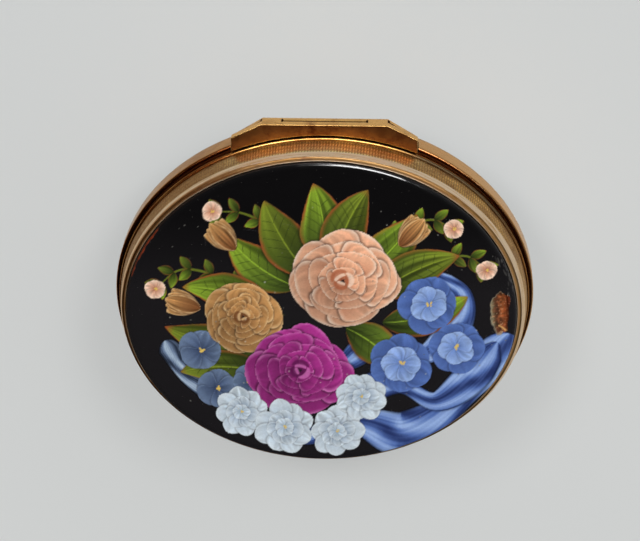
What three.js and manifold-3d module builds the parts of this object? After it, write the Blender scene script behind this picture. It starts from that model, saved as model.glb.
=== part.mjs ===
// An oval porcelain box: a domed plaque in a hinged lid of gilt brass, over a porcelain bowl.
// Millimetres, +Z up, the hinge at +Y. The origin is the middle of the flat underside.

import * as THREE from "three";
import { mergeVertices } from "three/addons/utils/BufferGeometryUtils.js";
import Module from "manifold-3d";

// The oval of the plaque, inside the bezel's lip. Every other oval lies a set distance out from it
const PLAQUE_LENGTH = 65;
const PLAQUE_WIDTH = 51.8;
const ROUND_STEPS = 72;
const CORE_SHARE = 0.75; // of the half length: inside it, ovals shrink in proportion

// Heights of the two halves
const BASE_HEIGHT = 17.3; // underside to the ledge that the lid closes on
const LID_WALL_HEIGHT = 9.4; // closing edge to the bezel's lip

// Clearances
const SEAT_GAP = 0.3; // between pieces that are cemented or soldered together
const CLOSING_GAP = 0.35; // between the lid's closing edge and the ledge
const LID_CLEARANCE = 0.3; // between the lid's skirt and the collar that it slides over

// Porcelain plaque
const PLAQUE_SIDE = 1.8; // height of its upright edge
const PLAQUE_PROUD = 0.6; // how much of that edge stands above the lip
const PLAQUE_SHOULDER = 0.75; // radius of its rounded edge
const PLAQUE_CROWN = 0.9; // rise of its dome inside the shoulder
const DOME_RINGS = 6;
const DOME_SPACING = 1.5; // above 1, rings crowd towards the shoulder
const SHOULDER_STEPS = 3;

// Chip in the plaque's edge, a shallow shell-shaped scoop
const CHIP_LENGTH = 7.4;
const CHIP_BREADTH = 3.6;
const CHIP_DEPTH = 1.1;
const CHIP_INSET = 3.1; // from the plaque's oval to the middle of the scoop
const CHIP_OFFSET = -0.3; // along the edge, from the long axis
const CHIP_LIFT = 0.15; // of the scoop's middle above the shoulder's top
const CHIP_STEPS = [18, 12]; // round and from pole to pole

// What lies under the plaque
const PLATE_DEPTH = 3.1; // from the bezel's lip to the back plate's underside
const BED_THICKNESS = 0.6;
const BACK_PLATE_THICKNESS = 0.7;

// Bezel: a thin lip, a cove and a slightly flared band
const LIP_THICKNESS = 0.3;
const COVE_DEPTH = 0.67;
const COVE_BREADTH = 0.5;
const COVE_STEPS = 3;
const BEZEL_HEIGHT = 1.8;
const BEZEL_FOOT = 1.1; // how far out the bezel's lower edge lies

// Milled band, with the flange that carries the back plate
const MILLED_HEIGHT = 5;
const MILLED_TOP = 1.15;
const MILLED_FOOT = 1.55;
const FLANGE_THICKNESS = 0.7;
const FLANGE_REACH = 1; // how far in the flange lies from the plaque's oval

// Closing rim: a groove, a bead and a smooth skirt
const SKIRT_OUTSIDE = 1.9;
const SKIRT_INSIDE = 0.5;
const BEAD_RADIUS = 0.3;
const BEAD_STEPS = 4;
const BEAD_ARC = [-60, 110]; // degrees, from the skirt to the groove
const GROOVE_DEPTH = 0.45;
const SKIRT_WAIST = 0.12; // how far the skirt lies inside the bead

// Rim of the base
const RIM_OUTSIDE = 2.65;
const RIM_HEIGHT = 5.4;
const RIM_WALL = 0.8;
const LEDGE_THICKNESS = 0.9;
const RIM_ROUNDING = 0.35;

// Collar that the lid closes over
const COLLAR_WALL = 0.8;
const COLLAR_RISE = 3.6; // above the ledge
const COLLAR_LEAD_IN = 0.2; // bevel at its top edge

// Porcelain bowl
const BOWL_WALL = 2.6;
const BOWL_FLOOR = 2.8;
const BOWL_FOOT_INSET = 7.5; // from the plaque's oval to the edge of the flat underside
const BOWL_STEPS = 6;

// Hinge
const HINGE_LENGTH = 30.8; // overall, along the leaves
const BARREL_LENGTH = 20.8; // the straight outer edge that holds the knuckles
const CENTRE_KNUCKLE_LENGTH = 13.9;
const HINGE_PROUD = 2.1; // how far its outer edge stands beyond the skirt
const FRONT_CHAMFER = 2.4; // how far the front leaf's sloped corners fall back
const REAR_CHAMFER = 3;
const LID_LEAF_THICKNESS = 2;
const KNUCKLE_RADIUS = 1.1;
const PIN_RADIUS = 0.5;
const PIN_CLEARANCE = 0.12; // round the pin, in the knuckles
const KNUCKLE_GAP = 0.2; // between neighbouring knuckles
const LEAF_SETBACK = 0.4; // how far the rear leaf's outer edge lies inside the front one's
const REAR_LEAF_FOOT = 0.8; // thickness of the rear leaf under the barrel
const SWING_GAP = 0.35; // room round a knuckle that swings
const HINGE_STEPS = 24;
const LEAF_STEPS = 12;

// Heights and distances that follow
const HALF_LENGTH = PLAQUE_LENGTH / 2;
const HALF_WIDTH = PLAQUE_WIDTH / 2;
const CORE = CORE_SHARE * HALF_LENGTH;
const CENTRE = -HALF_LENGTH; // the distance out of a point on the middle line
const CLOSING_EDGE = BASE_HEIGHT + CLOSING_GAP;
const LIP = CLOSING_EDGE + LID_WALL_HEIGHT;
const BEZEL_BOTTOM = LIP - BEZEL_HEIGHT;
const MILLED_TOP_HEIGHT = BEZEL_BOTTOM - SEAT_GAP;
const MILLED_BOTTOM = MILLED_TOP_HEIGHT - MILLED_HEIGHT;
const RIM_BOTTOM = BASE_HEIGHT - RIM_HEIGHT;
const PLATE_BOTTOM = LIP - PLATE_DEPTH;
const COLLAR_OUTSIDE = SKIRT_INSIDE - LID_CLEARANCE;
const BOWL_TOP = BASE_HEIGHT - LEDGE_THICKNESS - SEAT_GAP;
const BOWL_OUTSIDE = RIM_OUTSIDE - RIM_WALL - SEAT_GAP;
const HINGE_EDGE = HALF_WIDTH + SKIRT_OUTSIDE + HINGE_PROUD;
const PIVOT_Y = HINGE_EDGE - KNUCKLE_RADIUS;
const PIVOT_Z = CLOSING_EDGE - SWING_GAP - KNUCKLE_RADIUS;
const REAR_LEAF_BOTTOM = PIVOT_Z - KNUCKLE_RADIUS - REAR_LEAF_FOOT;

const wasm = await Module();
wasm.setup();

const FINISHES = {
  blackGlaze: { color: 0x0b0a0c, roughness: 0.12, metalness: 0 },
  cement: { color: 0x8a6a48, roughness: 0.9, metalness: 0 },
  brightGilt: { color: 0xc79a50, roughness: 0.28, metalness: 1 },
  wornGilt: { color: 0xb39a78, roughness: 0.45, metalness: 1 },
  milledGilt: { color: 0xa8855a, roughness: 0.5, metalness: 1 },
  brushedGilt: { color: 0xb08a58, roughness: 0.4, metalness: 1 },
  brass: { color: 0xb08d4c, roughness: 0.35, metalness: 1 },
};

const box = new THREE.Group();

function addPiece(name, finish, geometry) {
  const piece = new THREE.Mesh(geometry, new THREE.MeshStandardMaterial(FINISHES[finish]));
  piece.name = name;
  box.add(piece);
}

// Half the short width of the oval whose half length is reach. Ovals keep an even border near the
// rim and shrink in proportion inside the core.
function shortReach(reach) {
  const border = HALF_LENGTH - HALF_WIDTH;
  return reach > CORE ? reach - border : (reach * (CORE - border)) / CORE;
}

// Carries a profile round the oval. Each point is [distance out from the plaque's oval, height].
function ovalLathe(profile) {
  const points = profile.map(([out, z]) => new THREE.Vector2(HALF_LENGTH + out, z));
  const lathe = new THREE.LatheGeometry(points, ROUND_STEPS);
  const place = lathe.attributes.position;
  for (let i = 0; i < place.count; i++) {
    const [x, z, y] = [place.getX(i), place.getY(i), -place.getZ(i)];
    const reach = Math.hypot(x, y);
    const squeeze = reach > 0 ? shortReach(reach) / reach : 1;
    place.setXYZ(i, x, y * squeeze, z);
  }
  lathe.computeVertexNormals();
  return lathe;
}

// A ring or strip, whose profile closes on itself
function ovalRing(profile) {
  return ovalLathe([...profile, profile[0]]);
}

// A flat oval disc
function ovalDisc(edge, bottom, thickness) {
  const top = bottom + thickness;
  return ovalLathe([[CENTRE, bottom], [edge, bottom], [edge, top], [CENTRE, top]]);
}

// Points of an arc in a profile, from one angle to another in degrees
function arc(out, z, radius, from, to, steps) {
  return Array.from({ length: steps + 1 }, (_, i) => {
    const angle = THREE.MathUtils.degToRad(from + ((to - from) * i) / steps);
    return [out + radius * Math.cos(angle), z + radius * Math.sin(angle)];
  });
}

function solid(geometry) {
  const bare = geometry.clone();
  bare.deleteAttribute("normal");
  bare.deleteAttribute("uv");
  const merged = mergeVertices(bare);
  const vertProperties = new Float32Array(merged.attributes.position.array);
  const triVerts = new Uint32Array(merged.index.array);
  return new wasm.Manifold(new wasm.Mesh({ numProp: 3, vertProperties, triVerts }));
}

function geometryOf(body) {
  const { vertProperties, triVerts } = body.getMesh();
  const geometry = new THREE.BufferGeometry();
  geometry.setAttribute("position", new THREE.BufferAttribute(new Float32Array(vertProperties), 3));
  geometry.setIndex([...triVerts]);
  geometry.computeVertexNormals();
  return geometry;
}

// A block between two corners
function block([x0, y0, z0], [x1, y1, z1]) {
  const geometry = new THREE.BoxGeometry(x1 - x0, y1 - y0, z1 - z0);
  return solid(geometry.translate((x0 + x1) / 2, (y0 + y1) / 2, (z0 + z1) / 2));
}

// A round bar along the hinge's axis
function bar(radius, from, to) {
  const geometry = new THREE.CylinderGeometry(radius, radius, to - from, HINGE_STEPS);
  geometry.rotateZ(Math.PI / 2);
  return geometry.translate((from + to) / 2, PIVOT_Y, PIVOT_Z);
}

// Plaque: an upright edge, a rounded shoulder and a shallow dome
function plaqueProfile() {
  const side = -SEAT_GAP;
  const bottom = LIP + PLAQUE_PROUD - PLAQUE_SIDE;
  const domeEdge = side - PLAQUE_SHOULDER;
  const shoulder = LIP + PLAQUE_PROUD;
  const rings = Array.from({ length: DOME_RINGS }, (_, i) => {
    const share = 1 - ((i + 1) / DOME_RINGS) ** DOME_SPACING;
    const reach = (HALF_LENGTH + domeEdge) * share;
    return [reach - HALF_LENGTH, shoulder + PLAQUE_SHOULDER + PLAQUE_CROWN * (1 - share * share)];
  });
  return [
    [CENTRE, bottom],
    [side, bottom],
    ...arc(domeEdge, shoulder, PLAQUE_SHOULDER, 0, 90, SHOULDER_STEPS),
    ...rings,
  ];
}

function makePlaque() {
  const scoop = new THREE.SphereGeometry(0.5, ...CHIP_STEPS);
  scoop.scale(CHIP_BREADTH, CHIP_LENGTH, 2 * CHIP_DEPTH);
  const top = LIP + PLAQUE_PROUD + PLAQUE_SHOULDER;
  scoop.translate(HALF_LENGTH - CHIP_INSET, CHIP_OFFSET, top + CHIP_LIFT);
  const plaque = solid(ovalLathe(plaqueProfile())).subtract(solid(scoop));
  addPiece("plaque", "blackGlaze", geometryOf(plaque));
}

function makeLidFilling() {
  const plateTop = PLATE_BOTTOM + BACK_PLATE_THICKNESS;
  addPiece("plaque_bed", "cement", ovalDisc(-SEAT_GAP, plateTop + SEAT_GAP, BED_THICKNESS));
  addPiece("lid_back_plate", "brightGilt", ovalDisc(-SEAT_GAP, PLATE_BOTTOM, BACK_PLATE_THICKNESS));
}

function makeBezel() {
  const cove = Array.from({ length: COVE_STEPS }, (_, i) => {
    const angle = ((i + 1) / COVE_STEPS) * (Math.PI / 2);
    return [
      LIP_THICKNESS + COVE_BREADTH * (1 - Math.cos(angle)),
      LIP - COVE_DEPTH * Math.sin(angle),
    ];
  });
  const profile = [[0, BEZEL_BOTTOM], [BEZEL_FOOT, BEZEL_BOTTOM]];
  profile.push(...cove.reverse(), [LIP_THICKNESS, LIP], [0, LIP]);
  addPiece("lid_bezel", "wornGilt", ovalRing(profile));
}

function makeMilledBand() {
  const flange = PLATE_BOTTOM - SEAT_GAP;
  const profile = [
    [SKIRT_INSIDE, MILLED_BOTTOM],
    [MILLED_FOOT, MILLED_BOTTOM],
    [MILLED_TOP, MILLED_TOP_HEIGHT],
    [0, MILLED_TOP_HEIGHT],
    [0, flange],
    [-FLANGE_REACH, flange],
    [-FLANGE_REACH, flange - FLANGE_THICKNESS],
    [SKIRT_INSIDE, flange - FLANGE_THICKNESS],
  ];
  addPiece("lid_milled_band", "milledGilt", ovalRing(profile));
}

function makeClosingRim() {
  const top = MILLED_BOTTOM - SEAT_GAP;
  const skirt = SKIRT_OUTSIDE - SKIRT_WAIST;
  const profile = [
    [SKIRT_INSIDE, CLOSING_EDGE],
    [skirt, CLOSING_EDGE],
    ...arc(SKIRT_OUTSIDE - BEAD_RADIUS, top - BEAD_RADIUS, BEAD_RADIUS, ...BEAD_ARC, BEAD_STEPS),
    [SKIRT_OUTSIDE - GROOVE_DEPTH - BEAD_RADIUS, top],
    [SKIRT_INSIDE, top],
  ];
  addPiece("lid_closing_rim", "brushedGilt", ovalRing(profile));
}

// A hinge leaf: straight outer edge, sloped corners, square ends and an inner edge along the oval
function leafPlate({ inner, edge, end, chamfer, bottom, top }) {
  const [long, short] = [HALF_LENGTH + inner, HALF_WIDTH + inner];
  const endAngle = Math.acos(end / long);
  const outline = new THREE.Shape();
  outline.moveTo(end, short * Math.sin(endAngle));
  outline.lineTo(end, edge - chamfer);
  outline.lineTo(BARREL_LENGTH / 2, edge);
  outline.lineTo(-BARREL_LENGTH / 2, edge);
  outline.lineTo(-end, edge - chamfer);
  outline.lineTo(-end, short * Math.sin(endAngle));
  outline.absellipse(0, 0, long, short, Math.PI - endAngle, endAngle, true);
  const settings = { depth: top - bottom, bevelEnabled: false, curveSegments: LEAF_STEPS };
  return solid(new THREE.ExtrudeGeometry(outline, settings).translate(0, 0, bottom));
}

// The stretches of the barrel that belong to the lid
function lidKnuckles() {
  const inside = CENTRE_KNUCKLE_LENGTH / 2 + KNUCKLE_GAP;
  const outside = BARREL_LENGTH / 2;
  return [[-outside, -inside], [inside, outside]];
}

function boreThrough() {
  return solid(bar(PIN_RADIUS + PIN_CLEARANCE, -HINGE_LENGTH, HINGE_LENGTH));
}

function makeLidLeaf() {
  let leaf = leafPlate({
    inner: SKIRT_OUTSIDE + SEAT_GAP,
    edge: HINGE_EDGE,
    end: HINGE_LENGTH / 2,
    chamfer: FRONT_CHAMFER,
    bottom: CLOSING_EDGE,
    top: CLOSING_EDGE + LID_LEAF_THICKNESS,
  });
  for (const [from, to] of lidKnuckles()) {
    leaf = leaf.add(solid(bar(KNUCKLE_RADIUS, from, to)));
    const web = block([from, PIVOT_Y, PIVOT_Z], [to, HINGE_EDGE, CLOSING_EDGE + SWING_GAP]);
    leaf = leaf.add(web);
  }
  addPiece("lid_hinge_leaf", "brushedGilt", geometryOf(leaf.subtract(boreThrough())));
}

function makeBaseLeaf() {
  const centre = CENTRE_KNUCKLE_LENGTH / 2;
  const clear = BARREL_LENGTH / 2 + SWING_GAP;
  const past = 2 * KNUCKLE_RADIUS;
  let leaf = leafPlate({
    inner: RIM_OUTSIDE - RIM_WALL,
    edge: HINGE_EDGE - LEAF_SETBACK,
    end: HINGE_LENGTH / 2,
    chamfer: REAR_CHAMFER,
    bottom: REAR_LEAF_BOTTOM,
    top: BASE_HEIGHT,
  });
  leaf = leaf.subtract(
    block(
      [-clear, PIVOT_Y, PIVOT_Z - KNUCKLE_RADIUS],
      [clear, HINGE_EDGE + past, BASE_HEIGHT + past],
    ),
  );
  leaf = leaf.add(solid(bar(KNUCKLE_RADIUS, -centre, centre)));
  const room = KNUCKLE_RADIUS + SWING_GAP;
  for (const side of [-1, 1]) {
    const [from, to] = [side * centre, side * clear].sort((a, b) => a - b);
    leaf = leaf.subtract(
      block([from, PIVOT_Y - room, PIVOT_Z - room], [to, HINGE_EDGE + past, BASE_HEIGHT + past]),
    );
  }
  addPiece("base_hinge_leaf", "brushedGilt", geometryOf(leaf.subtract(boreThrough())));
}

function makePin() {
  addPiece("hinge_pin", "brass", bar(PIN_RADIUS, -BARREL_LENGTH / 2, BARREL_LENGTH / 2));
}

// Rim: a ledge and an outer wall, notched for the rear leaf
function makeRim() {
  const inside = RIM_OUTSIDE - RIM_WALL;
  const ledge = BASE_HEIGHT - LEDGE_THICKNESS;
  const profile = [
    [inside, RIM_BOTTOM],
    [RIM_OUTSIDE - RIM_ROUNDING, RIM_BOTTOM],
    [RIM_OUTSIDE, RIM_BOTTOM + RIM_ROUNDING],
    ...arc(RIM_OUTSIDE - RIM_ROUNDING, BASE_HEIGHT - RIM_ROUNDING, RIM_ROUNDING, 0, 90, 2),
    [COLLAR_OUTSIDE + SEAT_GAP, BASE_HEIGHT],
    [COLLAR_OUTSIDE + SEAT_GAP, ledge],
    [inside, ledge],
  ];
  const notch = leafPlate({
    inner: inside - SEAT_GAP,
    edge: HINGE_EDGE,
    end: HINGE_LENGTH / 2 + SEAT_GAP,
    chamfer: FRONT_CHAMFER,
    bottom: REAR_LEAF_BOTTOM - SEAT_GAP,
    top: BASE_HEIGHT + RIM_HEIGHT,
  });
  addPiece("base_rim", "brushedGilt", geometryOf(solid(ovalRing(profile)).subtract(notch)));
}

function makeCollar() {
  const inside = COLLAR_OUTSIDE - COLLAR_WALL;
  const top = BASE_HEIGHT + COLLAR_RISE;
  const profile = [
    [inside, BOWL_TOP + SEAT_GAP],
    [COLLAR_OUTSIDE, BOWL_TOP + SEAT_GAP],
    [COLLAR_OUTSIDE, top - COLLAR_LEAD_IN],
    [COLLAR_OUTSIDE - COLLAR_LEAD_IN, top],
    [inside, top],
  ];
  addPiece("base_collar", "brightGilt", ovalRing(profile));
}

// Bowl: an upright neck in the rim and a belly that curves in to a flat underside
function makeBowl() {
  const neck = RIM_BOTTOM - SEAT_GAP;
  const spread = BOWL_OUTSIDE + BOWL_FOOT_INSET;
  const belly = (drop, shrink, floor) =>
    Array.from({ length: BOWL_STEPS + 1 }, (_, i) => {
      const angle = ((i / BOWL_STEPS) * Math.PI) / 2;
      const out = -BOWL_FOOT_INSET + (spread - shrink) * Math.sin(angle);
      return [out, floor + drop * (1 - Math.cos(angle))];
    });
  const outside = belly(neck, 0, 0);
  const inside = belly(neck - BOWL_FLOOR, BOWL_WALL, BOWL_FLOOR).reverse();
  const profile = [
    [CENTRE, 0],
    ...outside,
    [BOWL_OUTSIDE, BOWL_TOP],
    [BOWL_OUTSIDE - BOWL_WALL, BOWL_TOP],
    ...inside,
    [CENTRE, BOWL_FLOOR],
  ];
  addPiece("base_bowl", "blackGlaze", ovalLathe(profile));
}

makePlaque();
makeLidFilling();
makeBezel();
makeMilledBand();
makeClosingRim();
makeLidLeaf();
makePin();
makeBaseLeaf();
makeRim();
makeCollar();
makeBowl();

export default box;
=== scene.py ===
"""An oval porcelain box: gilt brass mounts, a painted black plaque and a hinged lid."""
import math

import bmesh
import bpy
import numpy as np
from mathutils import Matrix, Vector


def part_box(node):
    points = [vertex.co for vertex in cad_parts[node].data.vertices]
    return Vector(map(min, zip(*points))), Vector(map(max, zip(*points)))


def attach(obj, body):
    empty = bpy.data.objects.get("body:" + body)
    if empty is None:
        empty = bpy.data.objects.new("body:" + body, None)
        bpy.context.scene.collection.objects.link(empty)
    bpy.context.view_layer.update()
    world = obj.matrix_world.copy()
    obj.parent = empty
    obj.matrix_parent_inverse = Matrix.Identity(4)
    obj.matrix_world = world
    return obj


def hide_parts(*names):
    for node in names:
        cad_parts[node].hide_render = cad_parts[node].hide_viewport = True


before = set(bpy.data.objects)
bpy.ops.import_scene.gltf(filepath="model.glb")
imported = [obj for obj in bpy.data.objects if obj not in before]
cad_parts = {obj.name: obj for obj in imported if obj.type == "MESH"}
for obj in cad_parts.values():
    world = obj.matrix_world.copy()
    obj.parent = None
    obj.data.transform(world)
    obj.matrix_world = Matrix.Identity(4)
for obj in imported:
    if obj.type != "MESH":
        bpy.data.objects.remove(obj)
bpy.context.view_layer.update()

MM = 0.001


def box_mm(node):
    """Lowest and highest corner of a CAD node, in millimetres."""
    low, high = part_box(node)
    return np.array(low) / MM, np.array(high) / MM


# Sizes that the solids give, in millimetres. "Out" is always a distance out from the lip's oval
PLAQUE_LOW, PLAQUE_HIGH = box_mm("plaque")
BEZEL_HIGH = box_mm("lid_bezel")[1]
MILLED_HIGH = box_mm("lid_milled_band")[1]
SKIRT_LOW, SKIRT_HIGH = box_mm("lid_closing_rim")
RIM_LOW, RIM_HIGH = box_mm("base_rim")
COLLAR_LOW, COLLAR_HIGH = box_mm("base_collar")
BOWL_HIGH = box_mm("base_bowl")[1]
PLATE_LOW, PLATE_HIGH = box_mm("lid_back_plate")
BED_LOW, BED_HIGH = box_mm("plaque_bed")

SEAT_GAP = 0.3  # what the solids leave between neighbours, closed here by each piece's own edge
HALF_LENGTH = PLAQUE_HIGH[0] + SEAT_GAP
HALF_WIDTH = PLAQUE_HIGH[1] + SEAT_GAP
LIP = BEZEL_HIGH[2]
BEZEL_FOOT = BEZEL_HIGH[0] - HALF_LENGTH
MILLED_FOOT = MILLED_HIGH[0] - HALF_LENGTH
SKIRT_OUT = SKIRT_HIGH[0] - HALF_LENGTH
RIM_OUT = RIM_HIGH[0] - HALF_LENGTH
COLLAR_OUT = COLLAR_HIGH[0] - HALF_LENGTH
BOWL_OUT = BOWL_HIGH[0] - HALF_LENGTH
SKIRT_IN = COLLAR_OUT + SEAT_GAP
TOUCH = 0.01  # how closely neighbouring pieces of one body meet

ROUND = 720  # steps round the oval on a fine ring
TAU = 2 * math.pi


def to_linear(shares):
    """sRGB values of 0 to 1 as the linear ones that shaders take."""
    shares = np.asarray(shares, float)
    return np.where(shares <= 0.04045, shares / 12.92, ((shares + 0.055) / 1.055) ** 2.4)


def unit(value):
    """A value, or values, held between 0 and 1."""
    return np.clip(value, 0, 1)


def linear(*srgb):
    """A colour given as 0 to 255 sRGB, as linear values."""
    return tuple(to_linear([v / 255 for v in srgb]).tolist())


GOLD = linear(240, 186, 106)
BROWN = linear(154, 100, 50)
# reddish brown, for tarnish and for painted shade in grooves
AGED_AND_SHADED = linear(122, 55, 16)
PALE = linear(230, 208, 180)
# dark brown, for painted shade in hollows and on the rear hinge leaf
HOLLOW_SHADE = linear(58, 22, 8)
BARE = linear(84, 76, 58)  # metal that has lost its gold
EDGE_TINT = {"Specular Tint": linear(250, 230, 204)}  # of the metal, seen aslant

SHARP = math.radians(38)  # edges that turn by more than this stay sharp
MIX_A, MIX_B, MIX_RESULT = 6, 7, 2  # a Mix node's sockets for colours


# Shader helpers


class Nodes:
    """A node tree, built by short calls. Coordinates are in millimetres."""

    def __init__(self, tree):
        self.tree = tree

    def put(self, socket, value):
        """Links a socket to another, or sets its value."""
        if isinstance(value, bpy.types.NodeSocket):
            self.tree.links.new(value, socket)
        elif socket.type == "RGBA":
            socket.default_value = (*value, 1.0)
        else:
            socket.default_value = value

    def add(self, kind, inputs=None, **settings):
        node = self.tree.nodes.new("ShaderNode" + kind)
        for key, value in settings.items():
            setattr(node, key, value)
        for key, value in (inputs or {}).items():
            self.put(node.inputs[key], value)
        return node

    def place(self, scale=(1, 1, 1)):
        """Object coordinates in millimetres, stretched by scale."""
        where = self.add("TexCoord").outputs["Object"]
        scale = tuple(s / MM for s in scale)
        return self.add("Mapping", {"Vector": where, "Scale": scale}).outputs[0]

    def noise(self, where, scale, detail=3.0, rough=0.55, distortion=0.0):
        inputs = {"Vector": where, "Scale": scale, "Detail": detail, "Roughness": rough}
        return self.add("TexNoise", {**inputs, "Distortion": distortion}).outputs["Fac"]

    def voronoi(self, where, scale, feature="F1"):
        inputs = {"Vector": where, "Scale": scale}
        return self.add("TexVoronoi", inputs, feature=feature).outputs["Distance"]

    def specks(self, where, scale, low, high, share):
        """Small round spots, as strong as share in their middles."""
        return self.ramp(self.voronoi(where, scale), low, high, share, 0.0)

    def hollows(self, distance):
        """Low in corners and grooves, 1 in the open."""
        return self.add("AmbientOcclusion", {"Distance": distance * MM}, samples=6).outputs["AO"]

    def ramp(self, value, low, high, to_low=0.0, to_high=1.0):
        inputs = {"Value": value, "From Min": low, "From Max": high}
        inputs.update({"To Min": to_low, "To Max": to_high})
        return self.add("MapRange", inputs, interpolation_type="SMOOTHSTEP").outputs[0]

    def maths(self, operation, a, b=0.0):
        return self.add("Math", {0: a, 1: b}, operation=operation).outputs[0]

    def times(self, a, b):
        return self.maths("MULTIPLY", a, b)

    def plus(self, a, b):
        return self.maths("ADD", a, b)

    def minus(self, a, b):
        return self.maths("SUBTRACT", a, b)

    def mix(self, share, a, b):
        inputs = {"Factor": share, MIX_A: a, MIX_B: b}
        return self.add("Mix", inputs, data_type="RGBA").outputs[MIX_RESULT]

    def attribute(self, name, socket="Fac"):
        return self.add("Attribute", attribute_name=name).outputs[socket]

    def bump(self, height, distance, strength=1.0, after=None):
        inputs = {"Height": height, "Distance": distance * MM, "Strength": strength}
        if after is not None:
            inputs["Normal"] = after
        return self.add("Bump", inputs).outputs[0]


class Material(Nodes):
    """A material with one Principled shader."""

    def __init__(self, name):
        self.material = bpy.data.materials.new(name)
        self.material.use_nodes = True
        super().__init__(self.material.node_tree)
        self.tree.nodes.clear()
        self.output = self.tree.nodes.new("ShaderNodeOutputMaterial")

    def finish(self, colour, roughness, normal, **settings):
        inputs = {"Base Color": colour, "Roughness": roughness, "Normal": normal, **settings}
        shader = self.add("BsdfPrincipled", inputs)
        self.put(self.output.inputs[0], shader.outputs[0])
        return self.material


def gilt_material(name, gold, worn, rough, brush, browned=0.5, brown=BROWN, pale=PALE):
    """Old gilding: gold, browned in patches and towards the left end as painted shade, rubbed pale
    where worn is high, with painted shade in its corners. Brush is how strongly it is brushed. The
    attributes for age and painted shade, bare and kept vary it over a piece."""
    m = Material(name)
    where = m.place()
    patches = m.noise(where, 0.16, 5, 0.6, 0.6)
    fine = m.noise(where, 1.3, 5, 0.68)
    grain = m.noise(where, 6, 3, 0.6)
    along = m.noise(m.place((0.12, 0.12, 5.5)), 1, 4, 0.7)
    side = m.add("SeparateXYZ", {0: where}).outputs["X"]
    mottle_and_shade = m.plus(patches, m.times(fine, 0.35))
    # painted shade: browner towards the left end
    mottle_and_shade = m.minus(mottle_and_shade, m.times(side, 0.003))
    tarnish_and_shade = m.ramp(mottle_and_shade, 0.82 - 0.4 * browned, 1.12 - 0.4 * browned)
    colour = m.mix(tarnish_and_shade, gold, brown)
    streaked = m.plus(along, m.times(grain, 0.3))
    rubbed = m.ramp(streaked, 0.98 - 0.6 * worn, 1.12 - 0.6 * worn, 0.0, min(1.0, 0.25 + worn))
    rubbed = m.times(rubbed, m.minus(1.0, m.attribute("kept")))
    colour = m.mix(rubbed, colour, pale)
    colour = m.mix(m.specks(where, 1.6, 0.05, 0.12, 0.6), colour, tuple(0.3 * c for c in brown))
    streaks = m.ramp(along, 0.52, 0.3, 0.0, 0.25 + 0.45 * brush)
    colour = m.mix(streaks, colour, tuple(0.7 * c for c in brown))
    # each piece's own field adds tarnish and painted shade: darker in grooves and browner at the left
    # end
    colour = m.mix(m.attribute("age_and_shade"), colour, AGED_AND_SHADED)
    colour = m.mix(m.attribute("bare"), colour, BARE)
    # painted shade: darker where ambient occlusion finds corners and grooves
    corner_shade = m.ramp(m.hollows(0.8), 0.25, 0.85, 0.9, 0.0)
    colour = m.mix(corner_shade, colour, HOLLOW_SHADE)
    blotted = m.plus(fine, m.times(along, brush))
    roughness = m.ramp(blotted, 0.3, 1.1, *rough)
    dull = m.plus(corner_shade, m.attribute("bare"))
    roughness = m.plus(roughness, m.times(dull, 0.3))
    lines = m.bump(along, 0.05 * brush + 0.01, 0.6)
    dents = m.bump(fine, 0.04, 0.5, lines)
    return m.finish(colour, roughness, dents, Metallic=1.0, **EDGE_TINT)


# Shapes round the oval


def oval(out, angle, half=(HALF_LENGTH, HALF_WIDTH)):
    """Points of the oval that lies a distance out from the lip."""
    return (half[0] + out) * np.cos(angle), (half[1] + out) * np.sin(angle)


def make_mesh(name, points, faces, materials, face_materials=None):
    mesh = bpy.data.meshes.new(name)
    mesh.from_pydata((np.asarray(points) * MM).tolist(), [], faces)
    for material in materials:
        mesh.materials.append(material)
    if face_materials is not None:
        mesh.polygons.foreach_set("material_index", face_materials)
    mesh.shade_smooth()
    mesh.set_sharp_from_angle(angle=SHARP)
    mesh.update()
    return make_object(name, mesh)


def make_object(name, data):
    piece = bpy.data.objects.new(name, data)
    bpy.context.scene.collection.objects.link(piece)
    return piece


def set_field(piece, name, values):
    """Stores one number for each point of a piece, for its material to read."""
    attribute = piece.data.attributes.new(name, "FLOAT", "POINT")
    attribute.data.foreach_set("value", np.ravel(values).astype(np.float32))


def dress(piece, body, slot, *nodes):
    """Lets a piece ride on a body and stand for CAD nodes."""
    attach(piece, body)
    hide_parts(*nodes)
    return piece


def ring_faces(across, around):
    """Faces of a closed tube: its profile has across points and it has around steps."""
    i, j = np.meshgrid(np.arange(around), np.arange(across), indexing="ij")
    here = i * across + j
    up = i * across + (j + 1) % across
    ahead = ((i + 1) % around) * across + j
    ahead_up = ((i + 1) % around) * across + (j + 1) % across
    return np.stack([here, ahead, ahead_up, up], axis=-1).reshape(-1, 4).tolist()


def ring(name, profile, material, shift=None, around=ROUND, fields=None):
    """A strip round the oval with a closed profile of (out, height), listed anticlockwise. Shift
    gives how far each point moves out and up, and fields the numbers that its material reads."""
    profile = np.asarray(profile, float)
    turn = np.repeat(np.linspace(0, TAU, around, endpoint=False)[:, None], len(profile), axis=1)
    out = np.tile(profile[:, 0], (around, 1))
    z = np.tile(profile[:, 1], (around, 1))
    d_out, d_z = shift(turn, out, z) if shift else (0, 0)
    x, y = oval(out + d_out, turn)
    points = np.stack([x, y, z + d_z], axis=-1).reshape(-1, 3)
    piece = make_mesh(name, points, ring_faces(len(profile), around), [material])
    for field, share in (fields or {}).items():
        set_field(piece, field, np.broadcast_to(share(turn, out, z), turn.shape))
    return piece


def arc(out, z, radius, start, end, steps):
    """Points of an arc in a profile, from one angle in degrees to another."""
    angles = np.radians(np.linspace(start, end, steps + 1))
    return [(out + radius * math.cos(a), z + radius * math.sin(a)) for a in angles]


def between(start, end, steps):
    """Points from start up to, but without, end."""
    return [tuple(np.add(start, np.subtract(end, start) * i / steps)) for i in range(steps)]


LEAN = 0.4  # how far the lip and the plaque draw in at the right end


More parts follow.
